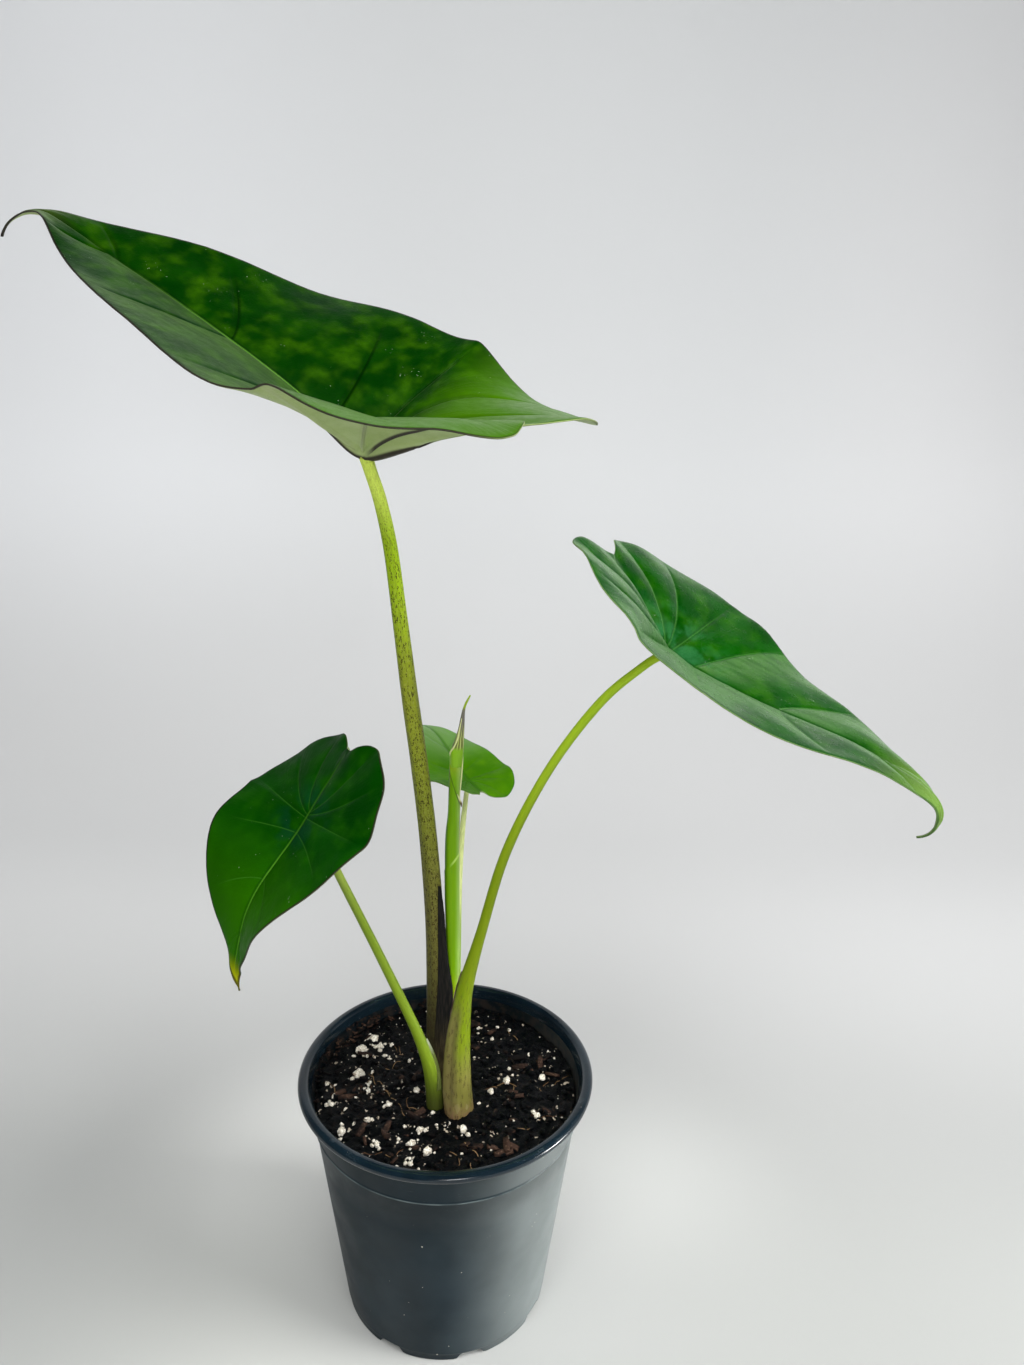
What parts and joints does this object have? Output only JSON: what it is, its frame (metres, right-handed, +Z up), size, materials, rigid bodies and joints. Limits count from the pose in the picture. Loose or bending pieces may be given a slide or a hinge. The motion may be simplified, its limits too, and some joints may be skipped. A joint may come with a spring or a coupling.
{
  "type": "potted sumo alocasia",
  "caption": "Alocasia house plant with peltate, pointed, ribbed leaves on long arching stalks and a rolled new leaf, growing in soil with perlite in a tapered nursery pot.",
  "frame": {"origin": "on the pot's axis, level with the bottom of its feet, which is also the middle of the plant's plan", "axes": "+Z up along the pot's axis; the side seen in the picture faces -Y; the tall leaf points to -X and the drooping leaf to +X"},
  "size_m": [0.3548, 0.1656, 0.4693],
  "materials": {
    "pot_plastic": "dark slate-blue moulded plastic, semi-gloss, dusty",
    "soil": "near-black potting mix with cream perlite",
    "blade_tall": "glossy mottled green above, pale green beneath",
    "blade_right": "glossy mottled green, pale sheen to the viewer",
    "blade_left": "glossy green, yellow drip tip",
    "blade_back": "soft light green",
    "stalk_speckled": "olive to yellow-green, brown speckles",
    "stalk_green": "smooth bright green",
    "new_leaf_sheath": "smooth yellow-green",
    "new_leaf_roll": "rolled blade, grey-purple and cream streaks",
    "dry_sheath": "dry, dark, papery",
    "brown_sheath": "dry, brown, papery",
    "pale_sheath": "thin, pale, papery"
  },
  "bodies": {
    "root": {"pot": "pot_plastic", "soil": "soil", "blade_tall": "blade_tall", "blade_right": "blade_right", "blade_left": "blade_left", "blade_back": "blade_back", "stalk_tall": "stalk_speckled", "stalk_right": "stalk_green", "stalk_left": "stalk_green", "stalk_back": "stalk_green", "new_leaf_sheath": "new_leaf_sheath", "new_leaf_roll": "new_leaf_roll", "sheath_flap_tall": "dry_sheath", "sheath_flap_right": "brown_sheath", "sheath_flap_left": "pale_sheath"}
  },
  "joints": []
}
